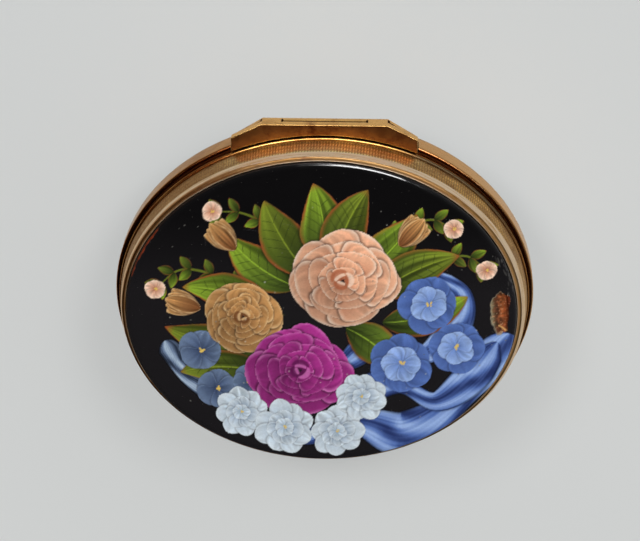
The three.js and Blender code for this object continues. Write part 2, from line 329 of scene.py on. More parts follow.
def lean(turn, z):
    """The inward lean at a height between the bezel's foot and its lip."""
    foot = MILLED_HIGH[2]
    return LEAN * np.maximum(np.cos(turn), 0) ** 2 * unit((z - foot) / (LIP - foot))


def far_from_hinge(turn):
    """0 beside the hinge and 1 over the rest of the oval."""
    return unit((0.96 - np.sin(turn)) / 0.08)


def towards_left(turn):
    """1 at the left end, less towards the right end, and 0 beside the hinge."""
    return far_from_hinge(turn) * (1 - np.cos(turn)) / 2


def hand_made(turn, size, seed):
    """A gentle unevenness along the oval."""
    waves = np.random.default_rng(seed)
    total = np.zeros_like(turn)
    for cycles in (2, 3, 5, 8, 13, 21):
        total += waves.normal() / cycles**0.5 * np.sin(cycles * turn + waves.uniform(0, TAU))
    return size * total / 2


# Camera and stage

VIEW_ELEVATION = math.radians(19.3)  # from the lid's face towards the hinge
VIEW_YAW = math.radians(2.1)  # a little from the right
VIEW_ROLL = math.radians(0.1)
VIEW_DISTANCE = 500
PHOTO_WIDTH = 640
PIXELS_PER_MM = 6.05
SENSOR = 36
AIM_RIGHT, AIM_UP = -0.36, 6.79


def make_camera():
    """The photograph's view, from above the lid."""
    data = bpy.data.cameras.new("camera")
    data.sensor_width = SENSOR
    data.lens = SENSOR * PIXELS_PER_MM * VIEW_DISTANCE / PHOTO_WIDTH
    data.clip_start, data.clip_end = 0.01, 20
    camera = make_object("camera", data)
    level = np.array([math.cos(VIEW_YAW), 0, -math.sin(VIEW_YAW)])
    rise, depth = math.sin(VIEW_ELEVATION), math.cos(VIEW_ELEVATION)
    back = np.array([depth * math.sin(VIEW_YAW), rise, depth * math.cos(VIEW_YAW)])
    upright = np.cross(back, level)
    right = math.cos(VIEW_ROLL) * level + math.sin(VIEW_ROLL) * upright
    up = math.cos(VIEW_ROLL) * upright - math.sin(VIEW_ROLL) * level
    place = np.array([0, 0, LIP]) + VIEW_DISTANCE * back + AIM_RIGHT * right + AIM_UP * up
    placed = np.eye(4)
    placed[:3, :] = np.stack([right, up, back, place * MM], axis=1)
    camera.matrix_world = Matrix(placed.tolist())
    bpy.context.scene.camera = camera


FLOOR_COLOUR = linear(215, 217, 216)
FLOOR_SIZE = 6  # metres


def make_floor():
    """Pale paper under the box."""
    m = Material("pale_paper")
    where = m.place()
    cloud = m.noise(where, 0.006, 2)
    colour = m.mix(m.ramp(cloud, 0.3, 0.7), FLOOR_COLOUR, tuple(0.985 * c for c in FLOOR_COLOUR))
    grain = m.bump(m.noise(where, 3, 4), 0.02, 0.3)
    material = m.finish(colour, 0.75, grain)
    bpy.ops.mesh.primitive_plane_add(size=FLOOR_SIZE)
    floor = bpy.context.object
    floor.name = "floor"
    floor.data.materials.append(material)
    return floor


def make_light(name, towards, distance, size, power, lit, blocking=None):
    """A soft box in the given direction from the box, which lights the objects in lit alone."""
    data = bpy.data.lights.new(name, "AREA")
    data.shape = "RECTANGLE"
    data.size, data.size_y = size
    data.energy = power
    light = make_object(name, data)
    direction = Vector(towards).normalized()
    light.location = direction * distance
    light.rotation_euler = direction.to_track_quat("Z", "Y").to_euler()
    light.visible_glossy = False
    light.light_linking.receiver_collection = group(name + "_lights", lit)
    if blocking is not None:
        light.light_linking.blocker_collection = group(name + "_meets", blocking)
    return light


def group(name, members):
    """A collection of objects, for light linking."""
    collection = bpy.data.collections.new(name)
    for member in members:
        collection.objects.link(member)
    return collection


PANEL_DISTANCE = 0.8


def make_panel(name, towards, size, power, pieces):
    """A panel that only shows in the gloss of the given pieces."""
    panel = make_light(name, towards, PANEL_DISTANCE, size, power, pieces)
    panel.visible_glossy = True
    panel.visible_diffuse = False


ROOM_DARK = (-0.1, -0.45, 0.88)  # the dim part of the room, which the lid's face mirrors
ROOM_LIGHT = (0.5, 0.5, -0.7)  # the paler side of the room, low down
ROOM_COLOUR = (0.97, 0.985, 1.0)


def make_lights(floor, glazed, worn, bright):
    """Soft boxes for the box and for the floor, and the panels that show in the gloss."""
    box = [o for o in bpy.context.scene.objects if o.type == "MESH" and o is not floor]
    make_light("key", (0.5, 0.5, 1.0), 1.2, (0.36, 0.36), 6.8, box)
    make_light("second", (-0.46, 0.5, 1.0), 1.2, (0.36, 0.36), 5.4, box)
    make_light("fill", (0.05, -0.5, 1.0), 1.2, (0.6, 0.5), 3.3, box)
    make_light("floor_wash", (-0.02, -0.3, 1.0), 1.4, (0.9, 0.9), 14.3, [floor], [floor])
    make_light("floor_left", (-0.36, 0.52, 1.0), 1.2, (0.3, 0.3), 1.9, [floor])
    make_light("floor_right", (0.36, 0.52, 1.0), 1.2, (0.3, 0.3), 1.7, [floor])
    make_panel("streak", (0.13, 0.5, 0.88), (0.22, 0.2), 5.5, [glazed])
    make_panel("soft_panel", (0.05, 0.48, 0.88), (0.5, 0.24), 2.1, [worn])
    make_panel("panel", (0.03, 0.44, 0.9), (0.62, 0.4), 6.2, bright)


def make_room():
    """The even light of the room, with a dim part and a paler side."""
    world = bpy.data.worlds.new("studio")
    world.use_nodes = True
    n = Nodes(world.node_tree)

    def facing(direction, low, high, to_low, to_high):
        """From to_low to to_high as a direction comes nearer to the given one."""
        where = n.add("TexCoord").outputs["Generated"]
        inputs = {0: where, 1: Vector(direction).normalized()}
        dot = n.add("VectorMath", inputs, operation="DOT_PRODUCT").outputs["Value"]
        return n.ramp(dot, low, high, to_low, to_high)

    lit = facing(ROOM_LIGHT, -0.6, 0.6, 0.04, 0.5)
    dim = facing(ROOM_DARK, 0.72, 0.95, 1.0, 0.06)
    back = n.tree.nodes["Background"]
    n.put(back.inputs["Color"], ROOM_COLOUR)
    n.put(back.inputs["Strength"], n.times(lit, dim))
    bpy.context.scene.world = world
    bpy.context.scene.view_settings.view_transform = "Standard"


# Metal mounts

COVE_OUT = 0.74  # where the cove ends in a ridge
COVE_DROP = 0.67  # how far below the lip that is
LIP_WIDTH = 0.25


def make_bezel():
    """A bright lip, a cove, a ridge and a pale flared band."""
    foot = MILLED_HIGH[2] + TOUCH
    bend = LIP_WIDTH / 2
    drop, breadth = COVE_DROP - bend, COVE_OUT - LIP_WIDTH
    cove = [
        (LIP_WIDTH + breadth * (1 - math.cos(a)), LIP - bend - drop * math.sin(a) ** 0.8)
        for a in np.linspace(0.0, math.pi / 2, 9)
    ]
    flare = between((BEZEL_FOOT, foot), (COVE_OUT + 0.04, LIP - COVE_DROP - 0.14), 10)
    ridge = arc(COVE_OUT - 0.06, LIP - COVE_DROP - 0.09, 0.1, 0, 80, 3)
    profile = [(0, foot)] + flare + ridge + cove[::-1][1:-1]
    profile += arc(bend, LIP - bend, bend, 0, 180, 8)

    def shift(turn, out, z):
        """Small dents below, an uneven lip and the lean at the right end."""
        high = unit(z - LIP + 1.0)
        low = unit((LIP - 0.9 - z) / 2.2) * (out > 0.5)
        edge = hand_made(turn, 0.035, 3) * high
        dent = hand_made(turn + z * 0.3, 0.03, 5) * low
        return np.minimum(edge * 0.4 + dent, 0.03) - lean(turn, z), np.minimum(edge, 0.0)

    def kept(turn, out, z):
        """The gold is left in the cove and, more thinly, on the lip."""
        wide = out < COVE_OUT - 0.02 + 0.3 * towards_left(turn)
        deep = z > LIP - COVE_DROP - 0.1 - 0.45 * towards_left(turn)
        in_cove = (out > LIP_WIDTH) & wide & deep
        return np.where(in_cove, 0.8, np.where(out <= LIP_WIDTH, 0.2, 0.0))

    def age_and_shade(turn, out, z):
        # browned in the cove, and browner towards the left end as painted shade
        browned = 0.35 + 0.4 * towards_left(turn)
        return np.where(kept(turn, out, z) > 0.5, browned, 0.1 * (out <= LIP_WIDTH))

    pale = gilt_material("worn_gilt", GOLD, 0.82, (0.2, 0.4), 0.8, 0.35)
    piece = ring("bezel", profile, pale, shift, fields={"age_and_shade": age_and_shade, "kept": kept})
    return dress(piece, "lid", "bezel_gilt", "lid_bezel")


MILL_PITCH = 0.42  # of the crossed cuts, along the band
MILL_RISE = 1.3  # and across it
MILL_DEPTH = 0.08
MILL_TOP_EDGE = 0.15  # plain border above the cuts
MILL_GROOVE = (0.9, 0.13)  # height and depth of the smooth groove below them
HINGE_SHEEN = (23.5, 26.5)  # between these distances towards the hinge the gold turns paler, a painted reflection


def milled_material():
    """Gold, paler towards the hinge as a painted reflection and browner towards the ends as painted
    shade, darker in its cuts and groove, with painted glints and painted shade in its hollows.
    """
    m = Material("milled_gilt")
    where = m.place()
    patches = m.noise(where, 0.2, 5, 0.6, 0.5)
    fine = m.noise(where, 2.4, 4, 0.65)
    split = m.add("SeparateXYZ", {0: where})
    side, depth = split.outputs["X"], split.outputs["Y"]
    # painted shade: browner towards both ends, most at the left end
    ends = m.times(m.maths("ABSOLUTE", side), 0.006)
    mottle_and_shade = m.plus(patches, m.minus(ends, m.times(side, 0.004)))
    colour = m.mix(m.ramp(mottle_and_shade, 0.34, 0.7), linear(246, 200, 118), linear(150, 104, 54))
    # painted reflection: paler gold towards the hinge
    colour = m.mix(m.ramp(depth, *HINGE_SHEEN, 0.0, 0.7), colour, linear(236, 236, 176))
    colour = m.mix(m.ramp(m.noise(where, 0.5, 4, 0.7), 0.5, 0.75, 0, 0.15), colour, PALE)
    colour = m.mix(m.ramp(fine, 0.45, 0.7, 0, 0.35), colour, tuple(0.6 * c for c in BROWN))
    darker_in_cuts = m.ramp(m.attribute("cut"), 0.1, 0.8, 0.0, 0.7)
    colour = m.mix(darker_in_cuts, colour, tuple(0.5 * c for c in AGED_AND_SHADED))
    # painted glints, strongest towards the hinge
    bright = m.ramp(depth, 20, 26, 0.2, 0.5)
    painted_glints = m.times(m.ramp(m.noise(where, 5.5, 2, 0.5), 0.5, 0.62), bright)
    colour = m.mix(painted_glints, colour, linear(250, 232, 176))
    # painted shade in hollows
    colour = m.mix(m.ramp(m.hollows(0.7), 0.25, 0.75, 0.85, 0.0), colour, HOLLOW_SHADE)
    roughness = m.ramp(fine, 0.3, 0.8, 0.3, 0.5)
    return m.finish(colour, roughness, m.bump(fine, 0.02, 0.4), Metallic=1.0, **EDGE_TINT)


def make_milled_band():
    """The strip of crossed cuts, deeper upright than level, over a smooth groove."""
    top_out, low_out = BEZEL_FOOT + 0.05, MILLED_FOOT
    top, low = MILLED_HIGH[2], SKIRT_HIGH[2] + TOUCH
    height, depth = MILL_GROOVE
    rows = 2 * int(round((top - low - height - MILL_TOP_EDGE) / MILL_RISE))
    lowest, highest = (low_out - 0.02, low + height), (top_out, top - MILL_TOP_EDGE)
    groove = [
        (low_out - depth * math.sin(a), low + height * (0.5 - 0.5 * math.cos(a)))
        for a in np.linspace(0, math.pi, 7)[1:-1]
    ]
    face = between(lowest, highest, rows) + [highest]
    plate = PLATE_LOW[2] - SEAT_GAP + TOUCH
    profile = [(SKIRT_IN, low), (low_out - 0.05, low)] + groove + face
    profile += [(top_out - 0.08, top), (0, top), (0, plate), (-1.0, plate), (-1.0, plate - 0.7)]
    profile += [(SKIRT_IN, plate - 0.7)]
    around = 2 * int(round(TAU * 0.5 * (HALF_LENGTH + HALF_WIDTH) / MILL_PITCH))
    first = 2 + len(groove)
    last = first + rows

    def cut(step, row):
        """How deep each point of the net lies, from 0 to 1."""
        share = np.where(step % 2 == 1, 1.0, np.where((row - first) % 2 == 1, 0.5, 0.0))
        return share * ((row >= first) & (row <= last))

    def shift(turn, out, z):
        step = np.rint(turn / TAU * around).astype(int)
        row = np.tile(np.arange(len(profile)), (around, 1))
        depth = MILL_DEPTH * (0.8 + 0.2 * np.sin(turn * 40))
        return hand_made(turn, 0.015, 11) * (out > 1) - cut(step, row) * depth, 0 * z

    piece = ring("milled_band", profile, milled_material(), shift, around)
    step, row = np.divmod(np.arange(len(piece.data.vertices)), len(profile))
    set_field(piece, "cut", np.where((row >= 2) & (row < first), 0.9, cut(step, row)))
    return dress(piece, "lid", "milled_gilt", "lid_milled_band")


def make_closing_rim():
    """A groove, a bead and the smooth skirt that shuts on the base."""
    top, low = SKIRT_HIGH[2], SKIRT_LOW[2]
    bead = 0.3
    skirt = SKIRT_OUT - 0.12
    profile = [(SKIRT_IN, low + 0.1), (SKIRT_IN + 0.1, low), (skirt - 0.12, low), (skirt, low + 0.12)]
    profile += between((skirt, low + 0.12), (skirt, top - 2 * bead), 5)[1:]
    profile += arc(SKIRT_OUT - bead, top - bead, bead, -65, 130, 12)
    profile += arc(SKIRT_OUT - 2 * bead - 0.16, top - 0.1, 0.16, -60, -150, 4)
    profile += [(MILLED_FOOT - 0.35, top + 0.2), (SKIRT_IN, top + 0.2)]

    def shift(turn, out, z):
        outer = out > 1
        return hand_made(turn, 0.02, 7) * outer - 0.02 * outer, hand_made(turn, 0.02, 9) * (z > top - 1)

    def age_and_shade(turn, out, z):
        """Painted shade in the groove and on the skirt, and the bead dulled away from the hinge."""
        in_groove = (z > top - 0.12) & (out < SKIRT_OUT - bead)
        on_skirt = z < top - 2 * bead + 0.05
        return np.where(in_groove, 0.9, np.where(on_skirt, 0.8, 0.75 * far_from_hinge(turn)))

    def bare(turn, out, z):
        """The bead has gone grey to the right of the hinge."""
        patch = far_from_hinge(turn) * unit((np.sin(turn) - 0.25) / 0.3) * (np.cos(turn) > 0)
        return np.where(z >= top - 2 * bead + 0.05, 0.9 * patch, 0.0)

    bright = gilt_material("skirt_gilt", GOLD, 0.15, (0.14, 0.28), 0.6)
    piece = ring("closing_rim", profile, bright, shift, fields={"age_and_shade": age_and_shade, "bare": bare})
    return dress(piece, "lid", "skirt_gilt", "lid_closing_rim")


def make_collar():
    """The upright strip that the lid closes over."""
    low, top = COLLAR_LOW[2] - SEAT_GAP + TOUCH, COLLAR_HIGH[2]
    inside = COLLAR_OUT - 0.8
    profile = between((COLLAR_OUT, low), (COLLAR_OUT, top - 0.25), 6)
    profile += arc(COLLAR_OUT - 0.25, top - 0.25, 0.25, 0, 90, 4)
    profile += arc(inside + 0.2, top - 0.2, 0.2, 90, 180, 3)
    profile += [(inside, low)]
    bright = gilt_material("collar_gilt", linear(226, 184, 116), 0.25, (0.18, 0.34), 0.8)
    dress(ring("collar", profile, bright), "base", "collar_gilt", "base_collar")


def make_lid_inside():
    """The gilt plate that closes the lid, seen when it is open, and the cement bed above it."""
    low, high = PLATE_LOW[2], PLATE_HIGH[2]
    gilt = gilt_material("plate_gilt", linear(224, 182, 116), 0.3, (0.22, 0.4), 0.2)
    edge = -TOUCH
    piece = disc("back_plate", edge, low - SEAT_GAP + TOUCH, high, gilt)
    dress(piece, "lid", "back_plate_gilt", "lid_back_plate")
    m = Material("cement")
    grain = m.noise(m.place(), 2.2, 6, 0.7)
    colour = m.mix(m.ramp(grain, 0.35, 0.7), linear(96, 62, 36), linear(150, 112, 70))
    cement = m.finish(colour, 0.9, m.bump(grain, 0.1, 0.8))
    low, high = BED_LOW[2] - SEAT_GAP + TOUCH, BED_HIGH[2] + SEAT_GAP - TOUCH
    piece = disc("cement_bed", edge, low, high, cement)
    dress(piece, "lid", "cement", "plaque_bed")


def oval_points(out, z, angle, share=1.0):
    """A row of points round the oval at one height, drawn in to a share of its size."""
    x, y = oval(0, angle, ((HALF_LENGTH + out) * share, (HALF_WIDTH + out) * share))
    return np.stack([x, y, np.full(len(angle), z)], axis=-1)


def band_faces(low, high, around):
    """Faces between two rows of points, which face out where the second lies above the first."""
    pairs = [(i, (i + 1) % around) for i in range(around)]
    low, high = low * around, high * around
    return [[low + i, low + j, high + j, high + i] for i, j in pairs]


def disc(name, out, low, high, material, around=360):
    """A flat oval plate with a softened edge."""
    soft = 0.08
    profile = [(out - soft, low), (out, low + soft), (out, high - soft), (out - soft, high)]
    angle = np.linspace(0, TAU, around, endpoint=False)
    points = [oval_points(step_out, z, angle) for step_out, z in profile]
    faces = [list(range(around))[::-1]]
    for row in range(len(profile) - 1):
        faces += band_faces(row, row + 1, around)
    faces.append([3 * around + i for i in range(around)])
    return make_mesh(name, np.concatenate(points), faces, [material])


def cut_away(piece, outline, low, high):
    """Cuts an upright prism with the given outline out of a piece."""
    count = len(outline)
    points = [(x, y, z) for z in (low, high) for x, y in outline]
    faces = [list(range(count))[::-1], list(range(count, 2 * count))]
    faces += band_faces(0, 1, count)
    tool = make_mesh("tool", points, faces, [])
    cut = piece.modifiers.new("cut", "BOOLEAN")
    cut.operation, cut.solver, cut.object = "DIFFERENCE", "EXACT", tool
    bake(piece)
    bpy.data.objects.remove(tool)
    piece.data.set_sharp_from_angle(angle=SHARP)


def bake(piece):
    """Puts the result of a piece's modifiers in its mesh."""
    seen = bpy.context.evaluated_depsgraph_get()
    solved = piece.evaluated_get(seen)
    new = bpy.data.meshes.new_from_object
    mesh = new(solved, preserve_all_data_layers=True, depsgraph=seen)
    piece.modifiers.clear()
    piece.data = mesh


RIM_ROUNDING = 0.35
RIM_WALL = 0.8
LEDGE_THICKNESS = 0.9


def make_rim():
    """The base's brushed mount, with the ledge and the notch for the hinge's rear leaf."""
    low, top = RIM_LOW[2], RIM_HIGH[2]
    inside = RIM_OUT - RIM_WALL
    edge = RIM_OUT - RIM_ROUNDING
    profile = [(inside, low), (edge, low)]
    profile += arc(edge, low + RIM_ROUNDING, RIM_ROUNDING, -60, 0, 3)
    profile += between((RIM_OUT, low + RIM_ROUNDING), (RIM_OUT, top - RIM_ROUNDING), 6)[1:]
    profile += arc(edge, top - RIM_ROUNDING, RIM_ROUNDING, 0, 90, 7)
    gutter = SKIRT_OUT - 0.04
    profile += [(edge - 0.05, top - 0.02), (gutter, top - 0.42), (gutter - 0.1, top - 0.6)]
    profile += [(gutter - 0.22, top - 0.6), (gutter - 0.3, top)]
    profile += [(COLLAR_OUT + TOUCH, top), (COLLAR_OUT + TOUCH, top - LEDGE_THICKNESS)]
    profile += [(inside, top - LEDGE_THICKNESS)]

    def shift(turn, out, z):
        outer = out > inside + 0.3
        return (hand_made(turn, 0.02, 21) - 0.03) * outer, 0 * z

    def age_and_shade(turn, out, z):
        """Painted shade in the gutter, an orange-brown painted reflection inside the rounded edge, and
        browner all round towards the left end as painted shade.
        """
        in_gutter = (out > gutter - 0.25) & (out < edge - 0.02) & (z > top - 0.7)
        at_edge = (out >= edge - 0.02) & (out < edge + 0.29) & (z > top - 0.3)
        left = towards_left(turn)
        return np.where(in_gutter, 0.8, np.where(at_edge, 0.45 + 0.5 * left, 0.08 + 0.5 * left))

    gilt = gilt_material("rim_gilt", linear(218, 170, 112), 0.4, (0.13, 0.28), 0.42, 0.35)
    piece = ring("rim", profile, gilt, shift, fields={"age_and_shade": age_and_shade})
    leaf_low, leaf_high = box_mm("base_hinge_leaf")
    end = leaf_high[0] + SEAT_GAP / 2
    long, short = HALF_LENGTH + inside - TOUCH, HALF_WIDTH + inside - TOUCH
    reach = math.acos(end / long)
    inner = [(long * math.cos(a), short * math.sin(a)) for a in np.linspace(reach, math.pi - reach, 60)]
    outline = [(-end, leaf_high[1] + 2), (end, leaf_high[1] + 2)] + inner
    cut_away(piece, outline[::-1], leaf_low[2] - SEAT_GAP / 2, top + 1)
    return dress(piece, "base", "rim_gilt", "base_rim")


FACE_LEVEL = 0.9  # faces at least this level are a leaf's face
REAR_LEVEL = 0.55  # on the rear leaf the slope of the joint counts as well
LEAF_SOFTNESS = 0.09  # width of the softened edges


def make_leaf(node, name, body, face_material, edge_material, level=FACE_LEVEL):
    """A hinge leaf from its solid, with its edges softened and rubbed bright. Faces at least as
    level as level get the face material."""
    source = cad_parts[node]
    mesh = source.data.copy()
    mesh.transform(source.matrix_world)
    mesh.materials.clear()
    mesh.materials.append(face_material)
    mesh.materials.append(edge_material)
    work = bmesh.new()
    work.from_mesh(mesh)
    bmesh.ops.remove_doubles(work, verts=work.verts, dist=1e-7)
    bmesh.ops.dissolve_limit(work, verts=work.verts, edges=work.edges, angle_limit=math.radians(1))
    for face in work.faces:
        face.material_index = 0 if face.normal.z > level else 1
    keen = [e for e in work.edges if e.is_manifold and e.calc_face_angle(0) > math.radians(25)]
    bmesh.ops.bevel(
        work, geom=keen, offset=LEAF_SOFTNESS * MM, segments=2, profile=0.6, affect="EDGES",
        clamp_overlap=True, material=1,
    )
    work.to_mesh(mesh)
    work.free()
    mesh.shade_smooth()
    mesh.set_sharp_from_angle(angle=math.radians(32))
    return dress(make_object(name, mesh), body, "hinge_gilt", node)


HOLE_RADIUS = 0.22  # of the worn places where the centre knuckle meets the outer ones
HOLE_AT = (7.03, 29.74)
HOLE_HEIGHTS = (16.4, 18.0)  # from below to above the joint


def make_hinge():
    """The two leaves, with the worn holes where their knuckles meet, and the pin."""
    brown, dark = linear(134, 82, 42), linear(84, 38, 18)
    # deep is a darker brown of the painted shade on the rear leaf
    deep = tuple(0.4 * c for c in HOLLOW_SHADE)
    face = gilt_material("leaf_gilt", brown, 0.12, (0.3, 0.46), 0.3, brown=dark, pale=GOLD)
    edge = gilt_material("edge_gilt", linear(232, 184, 112), 0.15, (0.2, 0.34), 0.4)
    # painted shade: the rear leaf's level faces and its joint slope get a dark copy of the gilt
    shaded_gilt = gilt_material("joint_painted_shade", HOLLOW_SHADE, 0.05, (0.45, 0.65), 0.3, brown=deep, pale=BROWN)
    front = make_leaf("lid_hinge_leaf", "front_leaf", "lid", face, edge)
    rear = make_leaf("base_hinge_leaf", "rear_leaf", "base", shaded_gilt, edge, REAR_LEVEL)
    turns = np.linspace(0, TAU, 12, endpoint=False)
    for side in (-1, 1):
        outline = [
            (side * HOLE_AT[0] + HOLE_RADIUS * math.cos(a), HOLE_AT[1] + HOLE_RADIUS * math.sin(a))
            for a in turns
        ]
        for piece in (front, rear):
            cut_away(piece, outline, *HOLE_HEIGHTS)
    for piece in (front, rear):
        evened = piece.modifiers.new("evened", "WEIGHTED_NORMAL")
        evened.keep_sharp = True
        bake(piece)
    dress_pin()
    return front, rear


def dress_pin():
    """Turned brass for the pin, whose solid stays."""
    m = Material("pin_brass")
    grain = m.noise(m.place((1, 6, 6)), 1.5, 3)
    colour = m.mix(grain, linear(176, 134, 78), linear(116, 80, 44))
    brass = m.finish(colour, 0.35, m.bump(grain, 0.02), Metallic=1.0)
    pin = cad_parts["hinge_pin"]
    pin.data.materials.clear()
    pin.data.materials.append(brass)


BOWL_WALL = 2.6
BOWL_FLOOR = 2.8  # height of the floor inside
FOOT_OUT = -7.5
FOOT_RING = 1.6  # width of the unglazed ring that the bowl was fired on
INNER_STEPS = 4  # of the rounded edge inside the bowl's mouth
BLACK, WHITE, BARE_FOOT = 0, 1, 2  # the bowl's materials


def belly(side, low, high):
    """A quarter oval in a profile, from the foot up to the neck."""
    turn = np.linspace(0, math.pi / 2, 40)
    rise = high - low
    return [(FOOT_OUT + (side - FOOT_OUT) * math.sin(a), low + rise * (1 - math.cos(a))) for a in turn]


def make_bowl():
    """The porcelain bowl: black glaze outside, white inside, a bare ring under the foot."""
    neck = RIM_LOW[2] - SEAT_GAP
    top = BOWL_HIGH[2]
    grip = RIM_OUT - RIM_WALL - TOUCH
    inner = BOWL_OUT - BOWL_WALL
    wall = [(grip, neck + 0.35), (grip, top - 0.1), (grip - 0.1, top), (inner + 0.3, top)]
    wall += arc(inner + 0.3, top - 0.3, 0.3, 110, 180, INNER_STEPS)
    outside = [(FOOT_OUT - FOOT_RING, 0.0)] + belly(BOWL_OUT, 0.0, neck) + wall
    profile = outside + belly(inner, BOWL_FLOOR, neck)[::-1]
    around = 360
    angle = np.linspace(0, TAU, around, endpoint=False)
    points = [oval_points(out, z, angle) for out, z in profile]
    faces, kinds = [], []

    def strip(low, high, kind):
        faces.extend(band_faces(low, high, around))
        kinds.extend([kind] * around)

    def floor(out, z, steps, start, kind):
        """Closes the bowl from the row start inwards, facing down if kind is BLACK."""
        outer = start
        for k in range(1, steps):
            points.append(oval_points(out, z, angle, 1 - k / steps))
            row = len(points) - 1
            strip(*((row, outer) if kind == BLACK else (outer, row)), kind)
            outer = row
        loop = [outer * around + i for i in range(around)]
        faces.append(loop[::-1] if kind == BLACK else loop)
        kinds.append(kind)

    for row in range(len(profile) - 1):
        inside = row >= len(outside) - INNER_STEPS - 1
        strip(row, row + 1, BARE_FOOT if row == 0 else WHITE if inside else BLACK)
    floor(FOOT_OUT - FOOT_RING, 0.0, 10, 0, BLACK)
    floor(FOOT_OUT, BOWL_FLOOR, 12, len(profile) - 1, WHITE)
    materials = [black_glaze(), white_glaze(), bisque()]
    piece = make_mesh("bowl", np.concatenate(points), faces, materials, kinds)
    dress(piece, "base", "bowl_glaze", "base_bowl")


def black_glaze():
    """Near-black glaze with a few pale specks."""
    m = Material("bowl_black_glaze")
    where = m.place()
    cloud = m.noise(where, 0.12, 4)
    colour = m.mix(m.ramp(cloud, 0.3, 0.7), linear(13, 12, 15), linear(24, 21, 24))
    colour = m.mix(m.specks(where, 0.55, 0.035, 0.06, 0.6), colour, linear(150, 140, 128))
    waves = m.bump(m.noise(where, 0.6, 2), 0.03, 0.25)
    return m.finish(colour, m.ramp(m.noise(where, 0.8, 5), 0.3, 0.75, 0.06, 0.17), waves)


def white_glaze():
    """White glaze with fine stained cracks and brown specks."""
    m = Material("bowl_white_glaze")
    where = m.place()
    cloud = m.noise(where, 0.1, 4, 0.6)
    colour = m.mix(m.ramp(cloud, 0.35, 0.7), linear(232, 230, 222), linear(214, 208, 194))
    crack = m.voronoi(where, 0.22, "DISTANCE_TO_EDGE")
    crazed = m.times(m.ramp(crack, 0.0, 0.02, 1, 0), m.ramp(cloud, 0.45, 0.6, 0.0, 0.35))
    colour = m.mix(crazed, colour, linear(150, 128, 96))
    colour = m.mix(m.specks(where, 0.4, 0.04, 0.07, 0.7), colour, linear(92, 78, 62))
    return m.finish(colour, 0.12, m.bump(m.noise(where, 0.7, 2), 0.03, 0.25))


def bisque():
    """Bare fired clay, stained by age."""
    m = Material("bowl_bare_foot")
    grain = m.noise(m.place(), 4, 6, 0.7)
    stain = m.noise(m.place(), 0.3, 3)
    colour = m.mix(m.ramp(grain, 0.3, 0.7), linear(206, 196, 176), linear(176, 162, 138))
    colour = m.mix(m.ramp(stain, 0.5, 0.7, 0, 0.6), colour, linear(120, 100, 78))
    return m.finish(colour, 0.85, m.bump(grain, 0.06, 0.6))


# Painted plaque


BRIGHT_GREEN, OLIVE, DARK_GREEN = (128, 156, 44), (98, 108, 34), (36, 46, 18)
PALE_OLIVE, LEAF_OLIVE, RUST = (104, 120, 40), (112, 126, 38), (150, 78, 40)
MAGENTAS = ((88, 20, 72), (160, 46, 128), (206, 112, 178))  # each dark, middle and pale
BLUES = DEEP_BLUE, BLUE, PALE_BLUE = (34, 48, 96), (84, 112, 176), (150, 176, 222)
GREY_BLUES = ((34, 42, 58), (104, 122, 150), (168, 186, 204))
PEACHES = ((166, 92, 62), (226, 172, 138), (244, 214, 190))
OCHRES = ((104, 62, 34), (186, 138, 84), (224, 188, 136))
ICE, ICE_SHADE, ICE_DEEP = (204, 214, 220), (142, 164, 188), (84, 106, 138)
YELLOW, SLATE = (222, 188, 92), (44, 56, 84)
SHADOW, BLUE_SHADOW = (16, 10, 12), (10, 10, 16)

ROSE_RINGS = ((8, 1.0, 0.46), (7, 0.8, 0.42), (6, 0.6, 0.36), (5, 0.42, 0.28), (4, 0.27, 0.2))
ROSE_FLAT = 0.92  # roses are a little flatter than round


def blend(first, second, share):
    """Colours between the first and the second, one for each share."""
    share = np.asarray(share)[:, None]
    return np.asarray(first, float) * (1 - share) + np.asarray(second, float) * share


def heading(angle, flat=1.0):
    return np.array([math.cos(angle), math.sin(angle) * flat])


def left_of(step):
    return np.array([-step[1], step[0]])


def within(half, side, soft=0.14):
    """1 inside a line's half width and 0 outside it, with a soft edge."""
    return unit((half - np.abs(side)) / soft + 0.5)


def bent_path(start, end, bend, shares):
    """Points of a curve that swings out to the left by bend, as a share of its length."""
    middle = (start + end) / 2 + bend * left_of(end - start)
    t = shares[:, None]
    return (1 - t) ** 2 * start + 2 * t * (1 - t) * middle + t**2 * end


